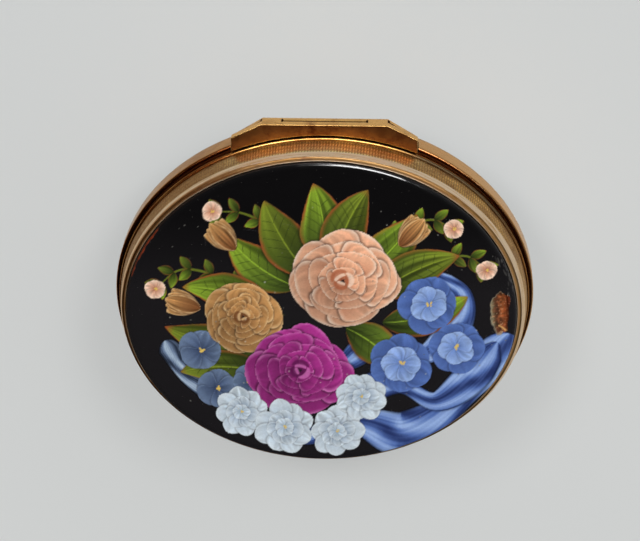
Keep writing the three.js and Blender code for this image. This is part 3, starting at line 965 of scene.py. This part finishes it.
class Painting:
    """Overglaze painting laid on a plaque's points, brush stroke by brush stroke. Colours are
    0 to 255 sRGB. Enamel is 1 on raised paint, 0 on the ground and -1 on bare porcelain."""

    def __init__(self, x, y, ground, seed):
        self.x, self.y = x, y
        self.colour = ground / 255
        self.enamel = np.zeros(len(x))
        self.chance = np.random.default_rng(seed)

    def lay(self, where, share, colour, enamel=1.0):
        """Covers the points in where with a share of a colour."""
        share = unit(share)
        colour = unit(np.asarray(colour, float) / 255)
        self.colour[where] = blend(self.colour[where], colour, share)
        self.enamel[where] = self.enamel[where] * (1 - share) + enamel * share

    def follow(self, path, reach):
        """The points within reach of a path, how far along it each lies, from 0 to 1, its signed
        distance to the left, and whether it lies beside the path, not past its ends."""
        path = np.asarray(path, float)
        low, high = np.min(path, axis=0) - reach, np.max(path, axis=0) + reach
        inside = (self.x > low[0]) & (self.x < high[0]) & (self.y > low[1]) & (self.y < high[1])
        where = np.nonzero(inside)[0]
        px, py = self.x[where], self.y[where]
        best = np.full(len(where), np.inf)
        share, side = np.zeros(len(where)), np.zeros(len(where))
        legs = len(path) - 1
        for i in range(legs):
            start, leg = path[i], path[i + 1] - path[i]
            size = max(np.hypot(*leg), 1e-9)
            dx, dy = px - start[0], py - start[1]
            t = (dx * leg[0] + dy * leg[1]) / size**2
            t = np.clip(t, -9.0 if i == 0 else 0.0, 9.0 if i == legs - 1 else 1.0)
            away = np.hypot(dx - t * leg[0], dy - t * leg[1])
            cross = (leg[0] * dy - leg[1] * dx) / size
            closer = away < best
            best = np.where(closer, away, best)
            share = np.where(closer, (i + t) / legs, share)
            side = np.where(closer, np.where(cross >= 0, away, -away), side)
        return where, unit(share), side, (share > 0) & (share < 1)

    def streaks(self, value, lines):
        """Smooth random values from -1 to 1 that vary with value, for brush lines."""
        table = self.chance.uniform(-1, 1, lines + 2)
        return np.interp(unit(value) * lines, np.arange(lines + 2), table)

    def stroke(self, path, width, colour, share=1.0, soft=0.12, enamel=1.0):
        """A brush line that tapers at both ends."""
        where, t, side, beside = self.follow(path, width + soft)
        half = width * np.sin(math.pi * t) ** 0.6
        self.lay(where, within(half, side, soft) * beside * share, colour, enamel)

    def petal(self, start, end, width, root, tip, rim, bend=0.0, waist=1.0, blunt=0.7, veins=0.1,
              fade=1.0, shade=0.0, cast=0.35, lines=14):
        """A petal or leaf from start to end: its colours, brushed veins, rim and cast shadow."""
        start, end = np.asarray(start, float), np.asarray(end, float)
        path = bent_path(start, end, bend, np.linspace(0, 1, 11))
        where, t, side, beside = self.follow(path, width * 1.25 + 0.3)
        half = width * (1 + 0.05 * self.streaks(t, 5)) * np.sin(math.pi * t**waist) ** blunt
        spread = unit((half * 1.08 + 0.25 - np.abs(side)) / 0.5) * beside
        self.lay(where, spread * cast, SHADOW, 0.8)
        across = np.clip(side / np.maximum(half, 1e-6), -1, 1)
        line = self.streaks((across + 1) / 2, lines) * (0.5 + 0.5 * self.streaks(t, 4))
        colour = blend(root, tip, t**fade)
        colour = colour * (1 + veins * line * 1.6 + shade * across)[:, None]
        edge = unit((np.maximum(across**2, t**5) - 0.62) / 0.38)
        edge = unit(edge * (0.65 + 0.35 * self.streaks(t, 9)) * 1.35)
        self.lay(where, within(half, side) * beside, blend(colour, rim, edge))

    def leaf(self, start, end, width, light, bend):
        """A leaf with a rusty edge, a pale midrib and dark side ribs."""
        start, end = np.asarray(start, float), np.asarray(end, float)
        self.petal(start, end, width, DARK_GREEN, light, RUST, bend, waist=0.85, blunt=0.85,
                   veins=0.22, shade=0.22, lines=20)
        path = bent_path(start, end, bend, np.linspace(0, 0.97, 9))
        self.stroke(path, 0.11, tuple(1.25 * c for c in light), 0.8)
        along = (end - start) / np.hypot(*(end - start))
        for k in np.linspace(0.18, 0.8, 6):
            root = path[int(k * 8)]
            reach = width * 0.75 * math.sin(math.pi * k**0.85)
            for sign in (-1, 1):
                tip = root + sign * left_of(along) * reach + along * reach * 0.8
                self.stroke([root, (root + tip) / 2 + along * 0.1, tip], 0.06, DARK_GREEN, 0.6, 0.1)

    def rose(self, centre, radius, colours, turn):
        """A full rose: rings of broad petals round a tight, dark-hearted bud."""
        centre = np.asarray(centre, float)
        deep, middle, pale = (np.array(colour) for colour in colours)
        for level, (count, reach, width) in enumerate(ROSE_RINGS):
            for k in range(count):
                angle = turn + level * 0.5 + k * TAU / count + self.chance.normal() * 0.09
                size = reach * radius * self.chance.uniform(0.92, 1.05)
                out = heading(angle, ROSE_FLAT) * size
                lit = 0.5 + 0.5 * math.sin(angle + 0.6)
                root, tip = deep * (0.75 + 0.2 * lit), middle * (0.84 + 0.26 * lit)
                self.petal(centre + out * 0.1, centre + out, width * radius, root, tip,
                           pale * (0.82 + 0.18 * lit), self.chance.normal() * 0.08, waist=1.7,
                           blunt=0.5, veins=0.09, fade=0.8, cast=0.4, lines=16)
        for k in range(7):
            angle, reach = turn + k * 2.1, radius * (0.05 + 0.022 * k)
            turns = np.linspace(0, 2.2, 8)
            curl = [centre + reach * heading(angle + a, ROSE_FLAT) for a in turns]
            self.stroke(curl, 0.05 * radius, pale if k % 2 else deep, 0.75, 0.2)

    def blossom(self, centre, radius, count, deep, pale, eye, turn):
        """A flower with one ring of petals round a dotted eye."""
        centre = np.asarray(centre, float)
        width = radius * 0.95 * math.sin(math.pi / count) * 1.05
        for k in range(count):
            angle = turn + k * TAU / count + self.chance.normal() * 0.06
            tip = centre + heading(angle) * radius * self.chance.uniform(0.9, 1.08)
            self.petal(centre, tip, width, deep, pale, pale, waist=1.5, blunt=0.55, veins=0.12,
                       fade=0.7, cast=0.3, lines=9)
        for _ in range(9):
            angle = self.chance.uniform(0, TAU)
            spot = centre + heading(angle) * radius * 0.16 * self.chance.uniform(0.2, 1)
            dot = [spot, spot + (0.12, 0.06), spot + (0.24, 0.0)]
            self.stroke(dot, radius * 0.06, eye, 0.9, 0.1)

    def ribbon(self, path, width, colours, folds, phase):
        """A broad silk ribbon with lengthwise folds that turns over as it goes."""
        deep, middle, pale = colours
        where, t, side, beside = self.follow(smooth_path(path, 10), width + 0.5)
        turned = TAU * folds * 0.5 * t + phase
        half = width * (0.72 + 0.28 * np.cos(turned))
        half = half * unit(np.minimum(t, 1 - t) * 12) ** 0.5
        spread = unit((half + 0.35 - np.abs(side)) / 0.6) * beside
        self.lay(where, spread * 0.4, BLUE_SHADOW, 0.8)
        across = np.clip(side / np.maximum(half, 1e-6), -1, 1)
        fold = np.sin(across * 4.2 + 2.4 * np.sin(turned))
        line = self.streaks((across + 1) / 2, 26) * 0.5 + self.streaks(t, 22) * 0.25
        lit = 0.5 + 0.42 * fold + 0.35 * line
        colour = blend(middle, deep, unit(1 - 2 * lit))
        colour = blend(colour, pale, unit(2 * lit - 1))
        edge = unit((np.abs(across) - 0.86) / 0.14)
        self.lay(where, within(half, side) * beside, colour * (1 - 0.5 * edge)[:, None])


def smooth_path(points, steps):
    """A curve through the given points."""
    points = np.asarray(points, float)
    ends = np.vstack([2 * points[0] - points[1], points, 2 * points[-1] - points[-2]])
    curve = []
    for a, b, c, d in zip(ends, ends[1:], ends[2:], ends[3:]):
        for t in np.linspace(0, 1, steps, endpoint=False):
            bent = 2 * b + (c - a) * t + (2 * a - 5 * b + 4 * c - d) * t**2
            curve.append(0.5 * (bent + (3 * b - a - 3 * c + d) * t**3))
    curve.append(points[-1])
    return np.array(curve)


TWIG_LEAF = 2.6  # length of the small leaves on a twig
TWIG_BUD = 1.7


def paint_spray(p, stem):
    """A thin twig with small paired leaves and a small blossom at its tip."""
    twig = smooth_path(stem, 8)
    p.stroke(twig, 0.2, OLIVE)
    for k in range(6, len(twig) - 2, 4):
        along = twig[k + 1] - twig[k - 1]
        along = along / np.hypot(*along)
        for sign, light in ((-1, PALE_OLIVE), (1, BRIGHT_GREEN)):
            tip = twig[k] + (along * 0.75 + left_of(along) * sign * 0.8) * TWIG_LEAF
            p.petal(twig[k], tip, TWIG_LEAF * 0.3, DARK_GREEN, light, RUST, waist=0.9, blunt=0.85,
                    veins=0.2, shade=0.2, cast=0.2, lines=8)
    p.blossom(twig[-1], TWIG_BUD, 5, PEACHES[0], PEACHES[2], YELLOW, 0.4)


def paint_tulip(p, spot, turn):
    """A half-open tulip with streaked petals."""
    spot, way = np.array(spot, float), heading(turn)
    for sway in (-0.8, 0.8, -0.4, 0.4, 0.0):
        tip = spot + way * (5.6 - abs(sway)) + left_of(way) * sway * 2.6
        p.petal(spot - way * 0.5, tip, 1.5, *OCHRES, -sway * 0.22, 0.95, 0.65, 0.3)


RIBBONS = (  # path, width, colours, folds and where the folds start
    (((3, -9), (10, -4), (17, -6.5), (22, -1.5), (23, 4), (18.5, 7.5)), 2.7, BLUES, 3.2, 0.4),
    (((-26, -5), (-22.5, -11), (-15, -14), (-7, -13)), 2.9, GREY_BLUES, 2.4, 1.2),
    (((-4, -22.5), (6, -19), (14, -21), (22, -15.5), (28, -9.5), (31, -3)), 4.2, BLUES, 3.4, 2.0),
    (((6, -13), (13, -12), (19, -15), (25, -10.5), (29, -4.5)), 3.0, BLUES, 2.6, 0.2),
)
STEMS = (
    ((2, 2), (-4, 12), (-12, 17), (-18, 17.5)),
    ((4, 2), (10, 12), (17, 16.5), (21.5, 15)),
    ((-6, 0), (-16, 6), (-23, 7.5), (-27.5, 4)),
    ((6, 2), (15, 8), (23, 10.5), (27, 8)),
)
LEAVES = (  # start, end, width and bend
    ((-4, 5), (-15.5, 13.5), 3.4, 0.16),
    ((-2, 7), (-9.5, 19.5), 3.8, 0.1),
    ((0, 8), (-1.5, 22.5), 3.9, -0.14),
    ((2, 8), (7.5, 21.5), 3.8, 0.14),
    ((5, 6), (15.5, 17.5), 3.7, -0.12),
    ((8, 3), (22.5, 10.5), 3.5, 0.14),
    ((-8, 1), (-23, 4.5), 3.3, -0.14),
    ((-8, -5), (-26, -2.5), 3.3, 0.14),
    ((10, -1), (24, 3.5), 3.3, -0.16),
    ((-10, -10), (-23.5, -10.5), 3.0, -0.14),
    ((4, -2), (13, -10), 3.4, 0.16),
)
TULIPS = (((-14.5, 11.5), 2.35), ((13.0, 12.5), 0.85), ((-20.5, 1.0), 2.9))  # foot and direction
# Of each blossom: centre, size and turn
GREY_BLOSSOMS = (
    ((-20.0, -6.5), 3.6, -20.0), ((-17.5, -13.2), 3.4, -17.5), ((-12.0, -12.0), 3.0, -12.0),
)
BLUE_BLOSSOMS = (((17.6, 2.2), 5.0, 0.2), ((13.2, -8.2), 5.2, 0.5), ((22.2, -5.4), 4.8, 0.9))
ICE_BLOSSOMS = (
    ((-13.4, -17.4), 4.4, 0.2), ((-6.2, -20.0), 5.0, 0.3), ((2.6, -20.6), 4.6, 0.8),
    ((6.6, -14.2), 4.4, 0.5),
)


def paint_bouquet(p):
    """A spray of garden flowers with silk ribbons, on the black ground."""
    for ribbon in RIBBONS:
        p.ribbon(*ribbon)
    for stem in STEMS:
        paint_spray(p, stem)
    for k, (start, end, width, bend) in enumerate(LEAVES):
        p.leaf(start, end, width, LEAF_OLIVE if k % 2 else BRIGHT_GREEN, bend)
    for spot, turn in TULIPS:
        paint_tulip(p, spot, turn)
    for centre, size, turn in GREY_BLOSSOMS:
        p.blossom(centre, size, 5, SLATE, GREY_BLUES[1], YELLOW, turn)
    p.rose((-13.0, -0.4), 6.8, OCHRES, 2.0)
    for centre, size, turn in BLUE_BLOSSOMS:
        p.blossom(centre, size, 6, DEEP_BLUE, BLUE, ICE, turn)
        p.blossom(centre, size * 0.62, 6, BLUE, PALE_BLUE, YELLOW, turn + 0.5)
    p.rose((3.4, 6.2), 9.4, PEACHES, 1.1)
    p.rose((-3.6, -9.6), 8.8, MAGENTAS, 0.3)
    for centre, size, turn in ICE_BLOSSOMS:
        p.blossom(centre, size, 8, ICE_SHADE, ICE, ICE_DEEP, turn)
        p.blossom(centre, size * 0.66, 7, ICE_DEEP, ICE, ICE_DEEP, turn + 0.4)
        p.blossom(centre, size * 0.34, 6, ICE_SHADE, ICE, YELLOW, turn + 0.9)


CHIP_CENTRE = (29.6, 0.6)
CHIP_REACH = (1.95, 3.7)  # half its size across and along the edge
CHIP_DEPTH = 1.0
CHIP_BREAK = 0.6  # where the scoop stops short on its outer side, as a share of its reach


def chip_share(x, y):
    """Distance from the chip's middle as a share of its uneven edge."""
    across, along = (x - CHIP_CENTRE[0]) / CHIP_REACH[0], (y - CHIP_CENTRE[1]) / CHIP_REACH[1]
    angle = np.arctan2(along, across)
    edge = 1 + 0.05 * (np.sin(3 * angle + 0.6) + np.sin(7 * angle + 2.0))
    edge = edge + 0.02 * np.sin(19 * angle)
    broken = 1 + 2.4 * (across - CHIP_BREAK - 0.1 * along + 0.05 * np.sin(9 * along))
    return np.maximum(np.hypot(across, along) / edge, broken), across, along


def mottle(x, y, size, chance):
    """Smooth random values from 0 to 1 over the plaque."""
    table = chance.uniform(0, 1, (64, 64))
    u, v = x / size % 63, y / size % 63
    i, j = u.astype(int), v.astype(int)
    s, t = u - i, v - j
    s, t = s * s * (3 - 2 * s), t * t * (3 - 2 * t)
    low = table[i, j] * (1 - s) + table[i + 1, j] * s
    high = table[i, j + 1] * (1 - s) + table[i + 1, j + 1] * s
    return low * (1 - t) + high * t


# The chip's colours from its inner to its outer side; the dark brown just inside the bare porcelain is
# painted shade
CHIP_STOPS = (-1, -0.8, -0.62, -0.4, 0.0, 0.35, 0.7)
CHIP_RED = (116, 146, 98, 84, 142, 128, 72)
CHIP_GREEN = (106, 134, 72, 50, 80, 66, 30)
CHIP_BLUE = (82, 104, 50, 34, 46, 36, 16)


def paint_chip(p):
    """Bare porcelain at the left with painted shade just inside it, stained cement in the middle, a
    sliver of the gilt plate.
    """
    share, across, along = chip_share(p.x, p.y)
    where = np.nonzero(share < 1.3)[0]
    share, across, along = share[where], across[where], along[where]
    x, y = p.x[where], p.y[where]
    cloud = mottle(x, y, 0.8, p.chance) * 0.45 + mottle(x, y, 0.32, p.chance) * 0.55
    place = across + 0.45 * (cloud - 0.5) + 0.1 * along
    shades = (CHIP_RED, CHIP_GREEN, CHIP_BLUE)
    body = np.stack([np.interp(place, CHIP_STOPS, shade) for shade in shades], axis=-1)
    body = body * (0.5 + cloud[:, None])
    flecks = unit((mottle(x, y, 0.24, p.chance) - 0.78) / 0.1)
    body = blend(body, (206, 160, 122), 0.6 * flecks)
    sliver = np.abs(along + 0.72 + 0.3 * across)
    gold = unit(1.4 - sliver / 0.045) * (across > -0.25) * (0.5 + 0.5 * cloud)
    p.lay(where, unit((1 - share) / 0.05), blend(body, (240, 192, 116), gold), -1.0)
    flake = unit(1 - np.abs(share - 0.95) / 0.07) * (across < 0.1) * (0.4 + 0.6 * cloud)
    p.lay(where, flake, (178, 172, 148), -1.0)


SPECKS, SCRATCHES = 70, 14
EDGE_WEAR = (  # range of angles, range of distances from the edge, colour and number
    ((2.56, 2.9), (0.02, 0.3), (150, 58, 30), 80),
    ((0.12, 0.42), (0.5, 1.6), (84, 82, 78), 22),
)
# the second colour is dark brown for dirt and painted shade round the plaque's very edge
SCRATCH_GREY, EDGE_DIRT_AND_SHADE = (110, 106, 104), (34, 20, 12)


def paint_wear(p):
    """Specks, rubbed patches by the edge, dirt and painted shade round the very edge, and fine
    scratches.
    """
    chance = p.chance
    for _ in range(SPECKS):
        angle, reach = chance.uniform(0, TAU), chance.uniform(0.2, 0.97)
        spot = np.array(oval(0, angle)) * reach
        size = chance.uniform(0.05, 0.13)
        grey = chance.uniform(90, 200)
        dot = [spot, spot + (size, size), spot + (2 * size, 0)]
        p.stroke(dot, size, (grey, grey, grey * 0.93), 0.7, 0.12, 0.2)
    for angles, insets, colour, count in EDGE_WEAR:
        for _ in range(count):
            angle, inset = chance.uniform(*angles), chance.uniform(*insets)
            spot = np.array(oval(-inset, angle))
            along = left_of(heading(angle)) * chance.uniform(0.15, 0.6)
            width = chance.uniform(0.04, 0.11)
            p.stroke([spot - along, spot, spot + along], width, colour, 0.7, 0.15, 0.1)
    # dirt and painted shade: dark brown round the very edge, where it meets the lip
    rim = (1 - np.hypot(p.x / HALF_LENGTH, p.y / HALF_WIDTH)) * (HALF_LENGTH + HALF_WIDTH) / 2
    where = np.nonzero(rim < 1)[0]
    p.lay(where, unit(1 - rim[where] / 0.3) * 0.9, EDGE_DIRT_AND_SHADE, -0.6)
    for _ in range(SCRATCHES):
        spot = chance.uniform((-24, -14), (24, 18))
        way = chance.normal(size=2) * (2.2, 1.2)
        p.stroke([spot, spot + way * 0.5 + 0.1, spot + way], 0.035, SCRATCH_GREY, 0.35, 0.12, 0.1)


GROUND = (16, 15, 16)  # the black ground, which is lighter towards the front
GROUND_FADE, GROUND_LIGHT = (4, 17), (1.75, 0.9)
PAINTING_SEED = 41
PLAQUE_STEPS = (420, 336)
PLAQUE_PROUD = 0.6  # how far it stands above the lip before it curves
SHOULDER_BREADTH, SHOULDER_HEIGHT = 1.4, 0.5
PLAQUE_TILT = 0.35  # it is set a little low at the hinge and high at the front


def net_faces(columns, rows):
    """Faces of a net of points, and the points of its border, anticlockwise."""
    index = np.arange(columns * rows).reshape(columns, rows)
    here, right = index[:-1, :-1], index[1:, :-1]
    far, up = index[1:, 1:], index[:-1, 1:]
    faces = np.stack([here, right, far, up], axis=-1).reshape(-1, 4).tolist()
    border = [index[:-1, 0], index[-1, :-1], index[:0:-1, -1], index[0, :0:-1]]
    return faces, np.concatenate(border)


def plaque_dome(long, short, shoulder):
    """A fine net of points over the oval with the given half axes, with the chip's scoop."""
    room = PLAQUE_HIGH[2] - shoulder - SHOULDER_HEIGHT
    crown = (room + math.sqrt(room**2 - PLAQUE_TILT**2)) / 2
    u, v = np.meshgrid(*(np.linspace(-1, 1, steps) for steps in PLAQUE_STEPS), indexing="ij")
    x, y = long * u * np.sqrt(1 - v**2 / 2), short * v * np.sqrt(1 - u**2 / 2)
    share = (x / long) ** 2 + (y / short) ** 2
    inward = lean(np.arctan2(y / short, x / long), LIP) * share
    x, y = x * (1 - inward / long), y * (1 - inward / short)
    near, _, along = chip_share(x, y)
    scoop = np.clip(1 - near**2, 0, None) ** 0.5 * CHIP_DEPTH
    ripple = 0.05 * np.sin(near * 11 + 2 * along) * (near < 1)
    z = shoulder + SHOULDER_HEIGHT + crown * (1 - share) - TOUCH
    z = z - scoop * (1 + ripple) - PLAQUE_TILT * y / short
    return np.stack([x, y, z], axis=-1).reshape(-1, 3)


def plaque_shape():
    """Points and faces of the plaque: its dome, its round shoulder and its upright side."""
    side = -TOUCH * 2
    edge = side - SHOULDER_BREADTH
    long, short = HALF_LENGTH + edge, HALF_WIDTH + edge
    shoulder = LIP + PLAQUE_PROUD
    points = plaque_dome(long, short, shoulder)
    faces, upper = net_faces(*PLAQUE_STEPS)
    turn = np.arctan2(points[upper, 1] / short, points[upper, 0] / long)
    around = len(turn)
    drop = [
        (edge + SHOULDER_BREADTH * math.cos(a), shoulder + SHOULDER_HEIGHT * math.sin(a) - TOUCH)
        for a in np.radians(np.linspace(84, 0, 15))
    ]
    bottom = PLAQUE_LOW[2] - SEAT_GAP + TOUCH
    drop += [(side, LIP), (side, bottom + 0.1), (side - 0.1, bottom)]
    for out, height in drop:
        lower = len(points) + np.arange(around)
        z = height - PLAQUE_TILT * np.sin(turn) * (height > LIP)
        loop = np.stack([*oval(out - lean(turn, height), turn), z], axis=-1)
        points = np.concatenate([points, loop])
        corners = [upper, lower, np.roll(lower, -1), np.roll(upper, -1)]
        faces += np.stack(corners, axis=-1).tolist()
        upper = lower
    faces.append(upper[::-1].tolist())
    return points, faces


def make_plaque():
    """The domed plaque with its painting."""
    points, faces = plaque_shape()
    x, y = points[:, 0], points[:, 1]
    ground = np.outer(np.interp(y, GROUND_FADE, GROUND_LIGHT), GROUND)
    painting = Painting(x, y, ground, PAINTING_SEED)
    paint_bouquet(painting)
    paint_wear(painting)
    paint_chip(painting)
    piece = make_mesh("plaque_painted", points, faces, [plaque_glaze()])
    paint = piece.data.attributes.new("paint", "FLOAT_COLOR", "POINT")
    rgba = np.hstack([to_linear(painting.colour), np.ones((len(points), 1))])
    paint.data.foreach_set("color", rgba.astype(np.float32).ravel())
    set_field(piece, "enamel", painting.enamel)
    return dress(piece, "lid", "plaque_glaze", "plaque")


def plaque_glaze():
    """The painted glaze, matt on raised paint and rough where it is bare."""
    m = Material("plaque_glaze")
    where = m.place()
    enamel = m.attribute("enamel")
    painted = m.ramp(enamel, 0.0, 0.8)
    bare = m.ramp(enamel, 0.0, -0.7)
    colour = m.attribute("paint", "Color")
    fine = m.noise(where, 3.2, 4, 0.6)
    colour = m.mix(m.ramp(fine, 0.3, 0.75, 0.0, 0.12), colour, (0.0, 0.0, 0.0))
    colour = m.mix(m.specks(where, 1.1, 0.03, 0.05, 0.35), colour, linear(160, 156, 148))
    smear = m.noise(m.place((0.25, 0.6, 1)), 0.8, 4, 0.6)
    roughness = m.plus(m.ramp(smear, 0.35, 0.8, 0.07, 0.16), m.times(painted, 0.12))
    roughness = m.plus(roughness, m.times(bare, 0.5))
    relief = m.bump(painted, 0.035, 0.5)
    waves = m.bump(m.noise(where, 0.45, 2), 0.05, 0.3, relief)
    grain = m.times(bare, fine)
    relief = m.bump(grain, 0.15, 0.7, waves)
    shine = {"Specular IOR Level": m.ramp(bare, 0.0, 1.0, 0.35, 0.05)}
    return m.finish(colour, roughness, relief, **shine)


make_camera()
floor = make_floor()
plaque = make_plaque()
bezel = make_bezel()
gilt = [make_milled_band(), make_closing_rim(), make_rim(), *make_hinge()]
make_lid_inside()
make_collar()
make_bowl()
make_lights(floor, plaque, bezel, gilt)
make_room()
